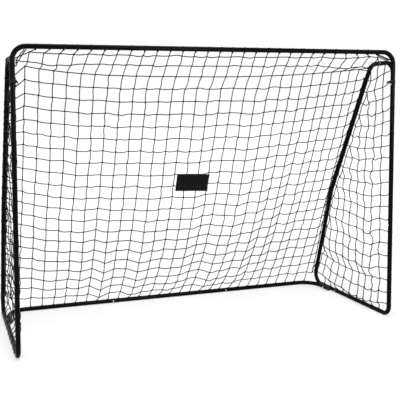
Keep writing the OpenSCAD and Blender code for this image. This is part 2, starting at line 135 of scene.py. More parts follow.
STAY = rounded([BRANCH, SHOULDER, KINK, REAR_FOOT + (0, FOOT_RISE)],
    [SHOULDER_BEND, KINK_BEND])
# How far before its shoulder the stay's slope begins, and where along it that is
STAY_LEAD = 0.02
STAY_START = np.linalg.norm(SHOULDER - BRANCH) - STAY_LEAD


# ---- Pieces ----

def place(name, data):
    """A new object with this data in the scene."""
    item = bpy.data.objects.new(name, data)
    bpy.context.scene.collection.objects.link(item)
    return item


class Piece:
    """Points, faces and UVs of one object while it is put together."""

    def __init__(self):
        self.points, self.faces, self.uvs = [], [], []
        self.count = 0

    def add(self, points, faces, uvs):
        points = np.asarray(points, float).reshape(-1, 3)
        self.faces += [[self.count + k for k in face] for face in faces]
        self.points.append(points)
        self.uvs.append(np.asarray(uvs, float).reshape(-1, 2))
        self.count += len(points)

    def sheet(self, grid, uv_grid, closed=False, ringed=False):
        """A skin over a grid of points, faces outwards where rows x columns is outwards. closed
        joins the last column to the first, and ringed the last row."""
        rows, columns = grid.shape[:2]
        a, b = np.mgrid[:rows - (not ringed), :columns - (not closed)]
        corners = [(a, b), (a + 1, b), (a + 1, b + 1), (a, b + 1)]
        faces = np.stack([r % rows * columns + c % columns for r, c in corners], -1)
        uvs = np.stack([uv_grid[r, c] for r, c in corners], -2)
        self.add(grid, faces.reshape(-1, 4).tolist(), uvs)

    def tubes(self, runs, across, radius, sides=8, closed=False):
        """Round cords along runs of points, all with as many points. No run goes along across."""
        runs = np.asarray(runs, float)
        if closed:
            runs = np.concatenate([runs, runs[:, :1]], 1)
            ahead = np.concatenate([runs[:, 1:], runs[:, 1:2]], 1)
            behind = np.concatenate([runs[:, -2:-1], runs[:, :-1]], 1)
            along = unit(ahead - behind)
        else:
            along = unit(np.gradient(runs, axis=1))
        across = np.broadcast_to(np.asarray(across, float), (len(runs), 3))[:, None]
        side = unit(np.cross(along, across))
        up = np.cross(side, along)
        turns = np.arange(sides) * TURN / sides
        radius = np.broadcast_to(radius, runs.shape[:2])[..., None, None]
        rings = (runs[:, :, None] + radius * (np.cos(turns)[:, None] * side[:, :, None]
            + np.sin(turns)[:, None] * up[:, :, None]))
        steps = np.linalg.norm(np.diff(runs, axis=1), axis=2)
        length = np.concatenate([np.zeros((len(runs), 1)), np.cumsum(steps, axis=1)], 1)
        round_it = np.arange(sides + 1) / sides
        for k, ring in enumerate(rings):
            uv = np.stack(np.broadcast_arrays(length[k][:, None], round_it), -1)
            self.sheet(ring[:-1] if closed else ring, uv, True, closed)
            if not closed:
                self.cap(ring[0][::-1])
                self.cap(ring[-1])

    def cap(self, ring):
        """Closes a tube's end with its last ring's own points again, welded later."""
        self.add(ring, [list(range(len(ring)))[::-1]], np.zeros((len(ring), 2)))

    def build(self, name, finish, replaces=(), sharp=None):
        """The object itself, which rides on the root. sharp is the angle of its hard edges."""
        mesh = bpy.data.meshes.new(name)
        mesh.from_pydata(np.concatenate(self.points).tolist(), [], self.faces)
        layer = mesh.uv_layers.new(name="cloth")
        layer.data.foreach_set("uv", np.concatenate(self.uvs).ravel())
        piece = place(name, mesh)
        weld(mesh)
        mesh.materials.append(finish)
        mesh.shade_smooth()
        if sharp:
            mesh.set_sharp_from_angle(angle=math.radians(sharp))
        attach(piece, "root")
        if replaces:
            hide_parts(*replaces)
        return piece


WELD_WITHIN = 1e-6


def weld(mesh):
    """Joins points that lie on each other, such as a cap's with its tube's."""
    work = bmesh.new()
    work.from_mesh(mesh)
    bmesh.ops.remove_doubles(work, verts=work.verts, dist=WELD_WITHIN)
    work.to_mesh(mesh)
    work.free()


# ---- Finishes ----

def maths(operation, swapped=False):
    """A method that adds a Math node. swapped puts what the method is given first."""
    def method(self, *others):
        values = [*others, self] if swapped else [self, *others]
        return self.nodes.node("Math", {"operation": operation}, dict(enumerate(values)))
    return method


class Value:
    """One output of a shader node. Sums written with it add the Math nodes that they need."""

    def __init__(self, nodes, output):
        self.nodes, self.output = nodes, output

    __add__ = __radd__ = maths("ADD")
    __mul__ = __rmul__ = maths("MULTIPLY")
    __sub__, __rsub__ = maths("SUBTRACT"), maths("SUBTRACT", swapped=True)
    __pow__ = maths("POWER")
    sine, size, most = maths("SINE"), maths("ABSOLUTE"), maths("MAXIMUM")

    def ramp(self, low, high):
        """0 below low, 1 above high and smooth between."""
        settings = {"interpolation_type": "SMOOTHSTEP"}
        return self.nodes.node("MapRange", settings, {0: self, 1: low, 2: high})


SEEN_BY = ("Is Camera Ray", "Is Glossy Ray", "Is Transmission Ray")


class Nodes:
    """A shader tree and the one way in which nodes are added to it."""

    def __init__(self, tree):
        self.tree = tree

    def node(self, kind, settings=(), sockets=(), out=0):
        """Any node by its type, its settings first and then what its sockets get."""
        node = self.tree.nodes.new("ShaderNode" + kind)
        for name, setting in dict(settings).items():
            setattr(node, name, setting)
        for name, value in dict(sockets).items():
            self.join(node.inputs[name], value)
        return Value(self, node.outputs[out])

    def join(self, socket, value):
        if isinstance(value, Value):
            self.tree.links.new(value.output, socket)
        elif socket.type == "RGBA":
            socket.default_value = (*value, 1)
        else:
            socket.default_value = value

    def seen(self):
        """1 to the eye and in gloss and glass, 0 to the light that falls on other things."""
        rays = [self.node("LightPath", out=ray) for ray in SEEN_BY]
        return rays[0].most(rays[1]).most(rays[2])


class Finish(Nodes):
    """A material under construction: one Principled shader and the nodes that feed it."""

    def __init__(self, name, **same_all_over):
        self.material = bpy.data.materials.new(name)
        self.material.use_nodes = True
        super().__init__(self.material.node_tree)
        self.shader = self.tree.nodes["Principled BSDF"]
        self.feed(**same_all_over)
        self.place = self.node("TexCoord", out="Object")

    def feed(self, **sockets):
        for name, value in sockets.items():
            self.join(self.shader.inputs[name.replace("_", " ")], value)

    def noise(self, scale, detail=3.0, where=None):
        sockets = {"Vector": where or self.place, "Scale": scale, "Detail": detail}
        return self.node("TexNoise", {}, sockets)

    def stretched(self, x, y, z):
        return self.node("Mapping", {}, {"Vector": self.place, "Scale": (x, y, z)})

    def mix(self, share, first, second):
        sockets = {0: share, 6: first, 7: second}
        return self.node("Mix", {"data_type": "RGBA"}, sockets, out=2)

    def up_share(self, vector):
        return self.node("SeparateXYZ", {}, {0: vector}, "Z")

    def cloth(self):
        """The UVs' two numbers: metres along, and metres or turns across."""
        both = self.node("SeparateXYZ", {}, {0: self.node("UVMap", {"uv_map": "cloth"})})
        return both, Value(self, both.output.node.outputs[1])

    def bump(self, height, deep):
        sockets = {"Height": height, "Distance": deep, "Strength": 1.0}
        self.feed(Normal=self.node("Bump", {}, sockets))


def shade(tone, share):
    return tuple(c * share for c in tone)


def powder_coat():
    """Glossy black powder coat: orange peel, dust that settles on top and fine scuffs low down."""
    coat = Finish("powder_coat", Specular_IOR_Level=0.04)
    facing = coat.up_share(coat.node("NewGeometry", out="Normal"))
    height = coat.up_share(coat.place)
    peel = coat.noise(700.0, 2.0)
    drift = coat.noise(9.0, 4.0)
    scuff = coat.noise(1.0, 2.0, coat.stretched(60.0, 60.0, 900.0)).ramp(0.66, 0.72)
    scuff = scuff * coat.noise(23.0).ramp(0.52, 0.66) * (1 - height.ramp(0.02, 0.5) * 0.75)
    dust = facing.ramp(0.55, 1.0) * drift.ramp(0.4, 0.75)
    black = coat.mix(drift, (0.0010, 0.0010, 0.0011), (0.0026, 0.0026, 0.0027))
    dusty = coat.mix(dust * 0.06, black, (0.21, 0.20, 0.19))
    coat.feed(Base_Color=coat.mix(scuff * 0.3, dusty, (0.07, 0.07, 0.074)))
    coat.feed(Roughness=0.14 + drift * 0.08 + dust * 0.12 + scuff * 0.2)
    coat.bump(peel + scuff * -0.5, 0.00006)
    return coat.material


def twine(name, pitch, strands, tone):
    """Twisted cord. The UVs run along it in metres and once round it."""
    cord = Finish(name, Specular_IOR_Level=0.12, Sheen_Weight=0.03, Sheen_Roughness=0.5)
    run, turn = cord.cloth()
    lay = ((run * (1 / pitch) + turn * strands) * TURN).sine()
    fibre = ((run * (9 / pitch) - turn * 23.0) * TURN).sine()
    fuzz = cord.noise(2600.0, 2.0)
    fade = cord.noise(14.0, 4.0)
    # The grooves between the strands are darkened: painted shade
    groove_shade = (1 - (lay * 0.5 + 0.5)) ** 3.0
    colour = cord.mix(fade.ramp(0.35, 0.75), tone, shade(tone, 1.7))
    cord.feed(Base_Color=cord.mix(groove_shade, colour, shade(tone, 0.45)))
    cord.feed(Roughness=0.62 + fuzz * 0.2)
    cord.bump(lay * 0.8 + fibre * 0.10 + fuzz * 0.35, 0.00025)
    return cord.material


# Spacing of the tape's ribs and twill, of the label's threads and of the sewing thread's lay
RIB, TWILL, CANVAS_THREAD, THREAD_LAY = 0.0012, 0.0016, 0.0009, 0.0011


def webbing():
    """Woven black tape: ribs across it, with a twill step along it."""
    tape = Finish("strap_webbing_weave", Specular_IOR_Level=0.12, Sheen_Weight=0.03)
    run, across = tape.cloth()
    weft = (run * (TURN / RIB)).sine()
    warp = (across * (TURN / TWILL) + run * (math.pi / RIB)).sine()
    weave = (weft.size() * warp.size()) ** 0.5
    fuzz = tape.noise(1800.0, 3.0)
    # The raised ribs and twill are painted lighter and the gaps between them darker: painted
    # highlight and painted shade
    colour = tape.mix(weave, (0.003, 0.003, 0.0033), (0.011, 0.011, 0.0115))
    tape.feed(Base_Color=colour, Roughness=0.6 + fuzz * 0.2)
    tape.bump(weave + fuzz * 0.3, 0.0003)
    return tape.material


def label_cloth():
    """Coated black canvas with a plain weave."""
    cloth = Finish("label_canvas", Specular_IOR_Level=0.06, Sheen_Weight=0.01)
    run, across = cloth.cloth()
    over = (run * (TURN / CANVAS_THREAD)).sine()
    under = (across * (TURN / CANVAS_THREAD)).sine()
    weave = over * under
    drift = cloth.noise(30.0, 4.0)
    black = cloth.mix(drift.ramp(0.35, 0.7), (0.0016, 0.0014, 0.0018), (0.0044, 0.0040, 0.0048))
    # The raised thread crossings are painted lighter than the black between them: painted
    # highlight
    cloth.feed(Base_Color=cloth.mix(weave.ramp(0.3, 1.0) * 0.5, black, (0.0090, 0.0086, 0.0094)))
    cloth.feed(Roughness=0.48 + drift * 0.14)
    cloth.bump(weave.size() + drift * 0.6, 0.00018)
    return cloth.material


def thread():
    """Twisted polyester sewing thread."""
    yarn = Finish("sewing_thread", Specular_IOR_Level=0.4)
    run, turn = yarn.cloth()
    lay = ((run * (1 / THREAD_LAY) + turn * 2.0) * TURN).sine()
    # Each strand is painted lighter on one side and darker on the other along the twist: painted
    # highlight and painted shade
    yarn.feed(Base_Color=yarn.mix(lay.ramp(-1, 1), (0.012, 0.012, 0.013), (0.05, 0.05, 0.052)))
    yarn.feed(Roughness=0.5 + yarn.noise(900.0) * 0.15)
    yarn.bump(lay, 0.0001)
    return yarn.material


def metal(name, tone, rough, brush, blotch, tarnish):
    """Plated or drawn steel: spangles of zinc, a drawn grain and darker stains."""
    steel = Finish(name)
    grain = steel.noise(1.0, 3.0, steel.stretched(*brush))
    spangle = steel.node("TexVoronoi", {}, {"Vector": steel.place, "Scale": 420.0}, "Color")
    flake = steel.node("SeparateXYZ", {}, {0: spangle}) * blotch
    stain = steel.noise(160.0, 5.0).ramp(0.5, 0.78)
    bright = steel.mix(flake, tone, shade(tone, 0.72))
    steel.feed(Base_Color=steel.mix(stain * tarnish, bright, (0.20, 0.17, 0.14)))
    steel.feed(Metallic=1 - stain * tarnish * 0.5)
    steel.feed(Roughness=rough + grain * 0.16 + stain * 0.18)
    steel.bump(grain + flake * 0.4, 0.00004)
    return steel.material


def moulded_plastic():
    """Black polyethylene with a fine spark-eroded grain and pale rubbed spots."""
    plastic = Finish("cap_plastic_grain", Specular_IOR_Level=0.4)
    grain = plastic.noise(1500.0, 2.0)
    rub = plastic.noise(70.0, 4.0).ramp(0.55, 0.75)
    plastic.feed(Base_Color=plastic.mix(rub * 0.5, (0.012, 0.012, 0.013), (0.035, 0.035, 0.037)))
    plastic.feed(Roughness=0.46 + grain * 0.14 + rub * 0.1)
    plastic.bump(grain, 0.0001)
    return plastic.material


NET_TONE = (0.006, 0.006, 0.0066)
COAT = powder_coat()
TWINE = twine("net_twine", 0.0052, 2, NET_TONE)
ROPE = twine("ridge_rope_lay", 0.0085, 3, NET_TONE)
TAPE = webbing()
CANVAS = label_cloth()
THREAD = thread()
ZINC = metal("zinc_plating", (0.66, 0.67, 0.69), 0.26, (300.0, 300.0, 300.0), 0.55, 0.35)
NICKEL = metal("button_plating", (0.70, 0.69, 0.67), 0.20, (900.0, 120.0, 120.0), 0.2, 0.2)
SPRING = metal("spring_temper", (0.36, 0.38, 0.43), 0.30, (90.0, 900.0, 90.0), 0.2, 0.45)
PLASTIC = moulded_plastic()

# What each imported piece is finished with, by how its name starts; the longest start counts
NODE_FINISH = {"crossbar": COAT, "post": COAT, "stay": COAT, "rear_bar": COAT,
    "rear_foot": ZINC, "rear_leg": PLASTIC, "snap_button": NICKEL, "leaf_springs": SPRING,
    "net_strap": TAPE, "net_label": CANVAS, "net": TWINE}


def finish_frame():
    for name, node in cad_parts.items():
        starts = [start for start in NODE_FINISH if name.startswith(start)]
        finish = NODE_FINISH[max(starts, key=len)]
        node.data.materials.clear()
        node.data.materials.append(finish)


finish_frame()


# ---- How the net hangs ----

FALL, TIME_STEP, DRAG = 9.8, 0.006, 0.04


def settle(places, held, ties, passes, rounds, floor, lean=0.0):
    """Lets knots fall until the cord between them holds them: a tie may be slack, never longer.
    lean is a sideways push as a share of weight."""
    free = (~held).astype(float)
    speed = np.zeros_like(places)
    for _ in range(passes):
        before = places.copy()
        speed[:, 2] -= FALL * TIME_STEP
        speed[:, 0] += FALL * TIME_STEP * lean
        places = places + speed * TIME_STEP * free[:, None]
        for _ in range(rounds):
            for a, b, length in ties:
                gap = places[b] - places[a]
                far = np.linalg.norm(gap, axis=1) + NEXT_TO_NOTHING
                over = np.maximum(far - length, 0) / far / np.maximum(free[a] + free[b], 1)
                places[a] += gap * (over * free[a])[:, None]
                places[b] -= gap * (over * free[b])[:, None]
        places[:, 2] = np.where(held, places[:, 2], np.maximum(places[:, 2], floor))
        speed = (places - before) / TIME_STEP * (1 - DRAG)
    return places


def in_groups(ties):
    """Splits ties (a, b, length) into groups in which no knot comes twice."""
    groups, used = [], []
    for a, b, length in ties:
        for group, knots in zip(groups, used):
            if a not in knots and b not in knots:
                break
        else:
            group, knots = [], set()
            groups.append(group)
            used.append(knots)
        group.append((a, b, length))
        knots.update((a, b))
    return [[np.array(column) for column in zip(*group)] for group in groups]


# The crossbar's ties: pitch and shift. The ridge: its drop down the slope in the middle and at
# each end, with the power of the curve between, and its knots' drift sideways
BAR_PITCH, BAR_SHIFT = 0.0678, 0.0072
RIDGE_DROP = 0.0845
RIDGE_ENDS = {-1: (0.0151, 3.73), 1: (0.0266, 1.79)}
RIDGE_DRIFT, DRIFT_POWER = 0.0773, 1.5
# Lengths of the roof's three cords from bar to ridge, and a mesh of the back
ROOF_CORDS = (0.0373, 0.0981, 0.1066)
MESH_ACROSS, MESH_DOWN = 0.0719, 0.0702
# How the rear bar's ties have slipped to the left and towards the middle
LOW_SHIFT, LOW_SQUEEZE, SQUEEZE_POWER = -0.0087, 0.0168, 8
# Each stay's first tie, pitch and most slip; the left's slip dies out over some rows, the right's
# follows a power of a sine
STAY_TIES = {-1: (0.0478, 0.0718, 0.0637), 1: (0.0328, 0.0745, -0.0201)}
SLIP_ROWS, SLIP_POWER = 8, 0.7
# The roof's ties on a stay: their start, their end past the slope's start; its last possible tie
ROOF_TIE, ROOF_OVERRUN, STAY_END = 0.02, 0.01, 0.01
# How far in a border begins, the spare cord at the borders, and chance in the first places
BORDER_IN, BORDER_SPARE, SHAKE = 0.05, 1.01, 0.001


def stay_ties(side):
    """The distances along a stay at which the back's rows are tied to it."""
    first, pitch, slip = STAY_TIES[side]
    row = np.arange(ROWS + 1)
    below = row - RIDGE_ROW
    if side < 0:
        slipped = slip * np.clip(1 - below / SLIP_ROWS, 0, 1)
    else:
        share = np.clip(below / (ROWS - RIDGE_ROW), 0, 1)
        slipped = slip * np.sin(np.pi * share) ** SLIP_POWER
    run = STAY_START + first + pitch * below + slipped
    roof = ROOF_TIE + (STAY_START + ROOF_OVERRUN) * row / RIDGE_ROW
    return np.minimum(np.where(row < RIDGE_ROW, roof, run), STAY.length - STAY_END)


def on_bar(x, bar, way):
    """Places of knots tied on a bar, on the side that way points to."""
    return in_space(bar + REACH * way[1:], x)


def in_space(side_places, x):
    """Places as (x, y, z), from one (y, z) or more and one x or more."""
    return np.stack(np.broadcast_arrays(x, *np.transpose(side_places)), -1)


def back_net():
    """Knots of the roof and the back, [column, row], with the length of each cord between."""
    half = SIDE_X - REACH
    column = np.arange(COLUMNS + 1)
    share = column / COLUMNS * 2 - 1
    drift = RIDGE_DRIFT * np.sin(np.pi * ((share + 1) / 2) ** DRIFT_POWER)
    down = unit(KINK - SHOULDER)
    ends, power = np.array([RIDGE_ENDS[1 if s > 0 else -1] for s in share]).T
    drop = RIDGE_DROP + (ends - RIDGE_DROP) * np.abs(share) ** power
    x_top = np.clip((column - COLUMNS / 2) * BAR_PITCH + BAR_SHIFT, -half, half)
    top = on_bar(x_top, TOP_BAR, BAR_TIE)
    ridge = in_space(SHOULDER + down * drop[:, None], share * half + drift)
    slipped = LOW_SHIFT * (1 - share ** 2)
    squeezed = LOW_SQUEEZE * share * (1 - share ** SQUEEZE_POWER)
    low = on_bar(share * half + slipped - squeezed, REAR_BAR, REAR_TIE)
    knots = np.zeros((COLUMNS + 1, ROWS + 1, 3))
    for j in range(ROWS + 1):
        if j <= RIDGE_ROW:
            knots[:, j] = top + (ridge - top) * j / RIDGE_ROW
        else:
            knots[:, j] = ridge + (low - ridge) * (j - RIDGE_ROW) / (ROWS - RIDGE_ROW)
    for side, end in ((-1, 0), (1, COLUMNS)):
        knots[end, :, 0] = side * half
        knots[end, :, 1:] = STAY.at(stay_ties(side))
        knots[end, 0] = on_bar([side * (SIDE_X - BORDER_IN)], TOP_BAR, BAR_TIE)
    held = np.zeros(knots.shape[:2], bool)
    held[0] = held[-1] = held[:, 0] = held[:, -1] = held[:, RIDGE_ROW] = True
    across = MESH_ACROSS * (1 + chance.normal(0, LOOSE, (COLUMNS, ROWS + 1)))
    across[:, RIDGE_ROW] = 0
    for end in (0, -1):
        gap = np.linalg.norm(np.diff(knots, axis=0)[end], axis=1)
        across[end] = np.maximum(across[end], gap * BORDER_SPARE)
    down = MESH_DOWN * (1 + chance.normal(0, LOOSE, (COLUMNS + 1, ROWS)))
    down[:, :RIDGE_ROW] = ROOF_CORDS
    number = np.arange(knots[..., 0].size).reshape(held.shape)
    ties = []
    for first in (0, 1):
        for ends, length in (((number[:-1], number[1:]), across),
                ((number.T[:-1], number.T[1:]), down.T)):
            a, b = (end[first::2].ravel() for end in ends)
            ties.append((a, b, length[first::2].ravel()))
    shaken = chance.normal(0, SHAKE, (held.size, 3)) * ~held.reshape(-1, 1)
    fallen = settle(knots.reshape(-1, 3) + shaken, held.ravel(), ties, passes=160, rounds=24,
        floor=LOW_Z)
    return fallen.reshape(knots.shape), across, down


# ---- Cords between knots ----

# Points from knot to knot, scatter in how slack hangs, a bow's square for each share of slack,
# how much of the waving is up and down, and the shortest cord
CORD_STEPS, HANG_SCATTER, BOW_SQUARED, UP_AND_DOWN, SHORTEST = 6, 0.8, 0.375, 0.6, 1e-6


def strands(ends, lengths, wave=0.0022, most_slack=0.012):
    """Cords through rows of knots, with the slack of each length bowed down and aside."""
    a, b = ends[:, :-1], ends[:, 1:]
    gap = b - a
    far = np.linalg.norm(gap, axis=2, keepdims=True)
    slack = np.asarray(lengths)[..., None] / np.maximum(far, SHORTEST) - 1
    along = gap / np.maximum(far, SHORTEST)
    hang = chance.normal(0, HANG_SCATTER, a.shape) - UP
    hang = unit(hang - (hang * along).sum(2, keepdims=True) * along)
    bow = far * np.sqrt(BOW_SQUARED * np.clip(slack, 0, most_slack))
    aside = unit(np.cross(along, hang))
    t = (np.arange(CORD_STEPS) / CORD_STEPS)[:, None]
    swing = chance.normal(0, wave, (2, *a.shape[:2], 1, 1))
    swing = swing * np.minimum(far / MESH_DOWN, 1)[None, ..., None]
    points = a[:, :, None] + gap[:, :, None] * t
    points = points + (hang * bow)[:, :, None] * 4 * t * (1 - t)
    points = points + hang[:, :, None] * swing[0] * np.sin(TURN * t) * UP_AND_DOWN
    points = points + aside[:, :, None] * swing[1] * np.sin(np.pi * t)
    return np.concatenate([points.reshape(len(ends), -1, 3), ends[:, -1:]], 1)


# Knots: points and sides of their cord, chance in their turn, each kind's size and radius
KNOT_POINTS, KNOT_SIDES, KNOT_SCATTER = 18, 6, 0.25
NET_KNOT, RIDGE_KNOT, SMALL_KNOT = (0.0039, 0.0019), (0.004, 0.0017), (0.003, 0.0014)


def knot_line():
    """A small overhand knot, about 1.8 across before it is scaled."""
    t = np.arange(KNOT_POINTS) * TURN / KNOT_POINTS
    return np.stack([np.sin(t) + 2 * np.sin(2 * t), np.cos(t) - 2 * np.cos(2 * t),
        -1.3 * np.sin(3 * t)], 1) / 3


def add_knots(piece, places, along, normal, kind=NET_KNOT):
    """A knot at each place, flat to the net and turned a little by chance."""
    size, radius = kind
    turned = chance.normal(0, KNOT_SCATTER, places.shape)
    normal = unit(np.broadcast_to(normal, places.shape) + turned)
    along = np.broadcast_to(along, places.shape)
    side = unit(along - (along * normal).sum(1, keepdims=True) * normal)
    other = np.cross(normal, side)
    line = knot_line() * size
    runs = (places[:, None] + line[:, 0, None] * side[:, None] + line[:, 1, None] * other[:, None]
        + line[:, 2, None] * normal[:, None])
    for run, across in zip(runs, normal):
        piece.tubes([run], across, radius, KNOT_SIDES, True)


# Ties: points of a round, sides of its cord and the gap to the tube; how far the two rounds lie
# off their middle in cord radii, how much they lean and how far on they start
LOOP_POINTS, LOOP_SIDES, LOOP_CLEAR = 20, 6, 0.0001
ROUNDS_APART, LOOP_LEAN, MOST_PHASE = 1.1, 0.3, 6


def add_loops(piece, centres, axes, start):
    """A thin tie twice round a tube at each centre, leaning along the tube by chance."""
    centres = np.asarray(centres, float)
    axes = unit(np.broadcast_to(axes, centres.shape))
    start = np.broadcast_to(start, centres.shape)
    first = unit(start - (start * axes).sum(1, keepdims=True) * axes)
    second = np.cross(axes, first)
    turn = np.arange(LOOP_POINTS) * TURN / LOOP_POINTS
    reach = TUBE_R + TIE_R + LOOP_CLEAR
    for gap in (-ROUNDS_APART, ROUNDS_APART):
        tilt = chance.normal(0, LOOP_LEAN, (len(centres), 1, 1)) * reach
        phase = chance.uniform(0, MOST_PHASE, (len(centres), 1))
        rise = (np.cos(turn + phase) - np.cos(phase))[..., None] * tilt + gap * TIE_R
        runs = (centres[:, None] + reach * (np.cos(turn)[:, None] * first[:, None]
            + np.sin(turn)[:, None] * second[:, None]) + rise * axes[:, None])
        runs[..., 2] = np.maximum(runs[..., 2], TIE_R)
        for run, axis in zip(runs, axes):
            piece.tubes([run], axis, TIE_R, LOOP_SIDES, True)


# ---- Roof, ridge and back of the net ----

# How far a border lies off its ties, its knots off it and the bars' knots off theirs
BORDER_OFF, BORDER_KNOT_OFF, BAR_KNOT_OFF = (0, 0.001, 0.002), 0.003, 0.001
# How little a border and the ridge wave, the ridge's sides and the way its knots face
TAUT, RIDGE_SIDES, RIDGE_OUT = 0.0006, 10, (0, -0.9, 0.45)
STAY_SAMPLES = 700


def add_panel(piece, knots, across, down, rows, inner_rows):
    """The cords and knots of a band of rows. Columns run on into the next band."""
    normals = unit(np.cross(np.gradient(knots, axis=1), np.gradient(knots, axis=0)))
    for j in inner_rows:
        run = strands(knots[None, :, j], across[None, :, j])
        piece.tubes(run, normals[COLUMNS // 2, j], CORD_R)
        add_knots(piece, knots[1:-1, j], ACROSS, normals[1:-1, j])
    first, last = rows
    band = knots[1:-1, first:last + 1]
    piece.tubes(strands(band, down[1:-1, first:last]), ACROSS, CORD_R)


def edge_cords(piece, knots, down, rows):
    """The net's borders, which follow the stays from tie to tie."""
    first, last = rows
    for end, side in ((0, -1), (-1, 1)):
        border = knots[end, first:last + 1] + BORDER_OFF
        piece.tubes(strands(border[None], down[None, end, first:last], TAUT), ACROSS, CORD_R)
        axes = stay_loops(piece, border, side, (-side, 0, 0))
        add_knots(piece, border + (-side * BORDER_KNOT_OFF, 0, 0), axes, (side, 0, 0))


def stay_loops(piece, places, side, way):
    """Ties round a stay where it is nearest to each place, and the stay's direction there."""
    fine = np.linspace(0, STAY.length, STAY_SAMPLES)
    runs = [fine[np.argmin(np.linalg.norm(STAY.at(fine) - yz, axis=1))] for yz in places[:, 1:]]
    axes = in_space(STAY.along(runs), 0)
    add_loops(piece, in_space(STAY.at(runs), side * SIDE_X), axes, way)
    return axes


def bar_loops(piece, row, bar, way):
    """Ties round a bar at a row of knots, on the side that way points to."""
    add_loops(piece, in_space(bar, row[:, 0]), ACROSS, way)
    add_knots(piece, row + way * BAR_KNOT_OFF, ACROSS, way)


# Bands of the net: rows of cords, of knots and of the border, and the tied row, its bar and way
BANDS = {
    "roof_netting": ("net_top", (0, RIDGE_ROW), range(1, RIDGE_ROW), (1, RIDGE_ROW),
        (0, TOP_BAR, BAR_TIE)),
    "upper_netting": ("net_back_upper", (RIDGE_ROW, FOLD_ROW), range(RIDGE_ROW + 1, FOLD_ROW),
        (RIDGE_ROW + 1, FOLD_ROW - 1), None),
    "lower_netting": ("net_back_lower", (FOLD_ROW, ROWS), range(FOLD_ROW, ROWS),
        (FOLD_ROW - 1, ROWS - 1), (-1, REAR_BAR, REAR_TIE))}


def make_back():
    knots, across, down = back_net()
    for name, (node, rows, knot_rows, border_rows, tied) in BANDS.items():
        band = Piece()
        add_panel(band, knots, across, down, rows, knot_rows)
        edge_cords(band, knots, down, border_rows)
        if tied:
            bar_loops(band, knots[1:-1, tied[0]], *tied[1:])
        band.build(name, TWINE, [node])
    rope = Piece()
    line = strands(knots[None, :, RIDGE_ROW], np.zeros((1, COLUMNS)), TAUT)
    rope.tubes(line, BACK, RIDGE_R, RIDGE_SIDES)
    add_knots(rope, knots[1:-1, RIDGE_ROW], ACROSS, RIDGE_OUT, RIDGE_KNOT)
    rope.build("ridge_rope", ROPE)
    return knots


knots = make_back()


# ---- Sides of the net ----

# The first tie on a post, by its height, and on a stay, with the ties' pitch; the way from a
# stay's ties to its middle, the rows, and how far the side's border keeps off the stay
POST_TIE, POST_PITCH = 1.4106, 0.0704
SIDE_TIE, SIDE_PITCH = 0.110, 0.0730
STAY_SIDE = np.array([0.9, 0.4])
SIDE_ROWS, BORDER_GAP = 20, 0.024
# Spare cord as a share of its length: in a row and where a row ends further back; by side in the
# lowest rows, to stay and top tube, to the floor, and at the end of two rows that bulge
ROW_SPARE, STEP_SPARE = 0.022, 0.04
HEAP, HEAP_ROWS = {-1: 0.006, 1: 0.05}, 2
EDGE_SPARE, FOOT_SPARE = {-1: 0.02, 1: 0.1}, {-1: 0.03, 1: 0.15}
BULGE, BULGE_ROWS = {-1: 0, 1: 0.22}, (2, 3)
# The shortest cord to the top tube, how far forward it leans, and chance in the lowest ties
TOP_CORD, TOP_LEAN, FOOT_SCATTER = 0.034, 0.01, 0.012
# How strongly each panel is drawn in from its plane, and the furthest that it may bow
INWARD_LEAN, MOST_BOW = {-1: 1.5, 1: 0.12}, {-1: 0.030, 1: 0.30}
# Chance in the first places, its shares in x, y and z, and the height of the lowest knots
SIDE_SHAKE, SHAKE_SHARES = 0.01, (1, 0.5, 0.3)
LOWEST_KNOT = LOW_Z + 0.004


def side_net(side):
    """Knots of one side panel, in rows from the post to the stay, and its ties."""
    row = np.arange(SIDE_ROWS)
    post_z = POST_TIE - POST_PITCH * row
    stay_at = STAY.at(STAY_START + SIDE_TIE + SIDE_PITCH * row)
    places, held, names, ties = [], [], {}, []

    def put(key, y, z, fixed):
        names[key] = len(places)
        places.append((side * SIDE_X, y, z))
        held.append(fixed)

    def tie(one, other, spare, least=0.0):
        i, j = names[one], names[other]
        length = max(math.dist(places[i], places[j]) * (1 + spare), least)
        ties.append((i, j, length * (1 + chance.normal(0, SIDE_LOOSE))))

    counts = []
    for b in row:
        y0, z0 = FRONT_Y + REACH, post_z[b]
        y1, z1 = stay_at[b] - REACH * STAY_SIDE
        inner = (y1 - y0 - BORDER_GAP) / (y1 - y0)
        n = max(2, round((y1 - y0) * inner / MESH_DOWN))
        counts.append(n)
        for a in range(n + 1):
            share = inner * a / n
            put((a, b), y0 + (y1 - y0) * share, z0 + (z1 - z0) * share, a == 0)
        put(("stay", b), y1, z1, True)
    for b in row:
        heap = HEAP[side] if b >= SIDE_ROWS - HEAP_ROWS else 0
        span = math.dist(places[names[0, b]], places[names["stay", b]])
        # A row with this much spare cord bows by the most that it may
        spare = min(ROW_SPARE, 8 / 3 * (MOST_BOW[side] / span) ** 2)
        for a in range(counts[b]):
            bulge = BULGE[side] if b in BULGE_ROWS and a == counts[b] - 1 else 0
            tie((a, b), (a + 1, b), spare + heap + bulge)
        tie((counts[b], b), ("stay", b), EDGE_SPARE[side])
    for b in row[:-1]:
        for a in range(1, counts[b] + 1):
            if a <= counts[b + 1]:
                tie((a, b), (a, b + 1), 0, POST_PITCH)
        if counts[b + 1] > counts[b]:
            tie((counts[b], b), (counts[b + 1], b + 1), STEP_SPARE)
    for a in range(1, counts[0] + 1):
        put((a, "top"), places[names[a, 0]][1] - TOP_LEAN, BRANCH_Z - REACH, True)
        tie((a, "top"), (a, 0), EDGE_SPARE[side], TOP_CORD)
    for a in range(1, counts[-1] + 1):
        y = places[names[a, SIDE_ROWS - 1]][1] + chance.normal(0, FOOT_SCATTER)
        put((a, "foot"), y, LOW_Z + REACH, True)
        tie((a, SIDE_ROWS - 1), (a, "foot"), FOOT_SPARE[side], POST_PITCH)
    return np.array(places), np.array(held), names, ties


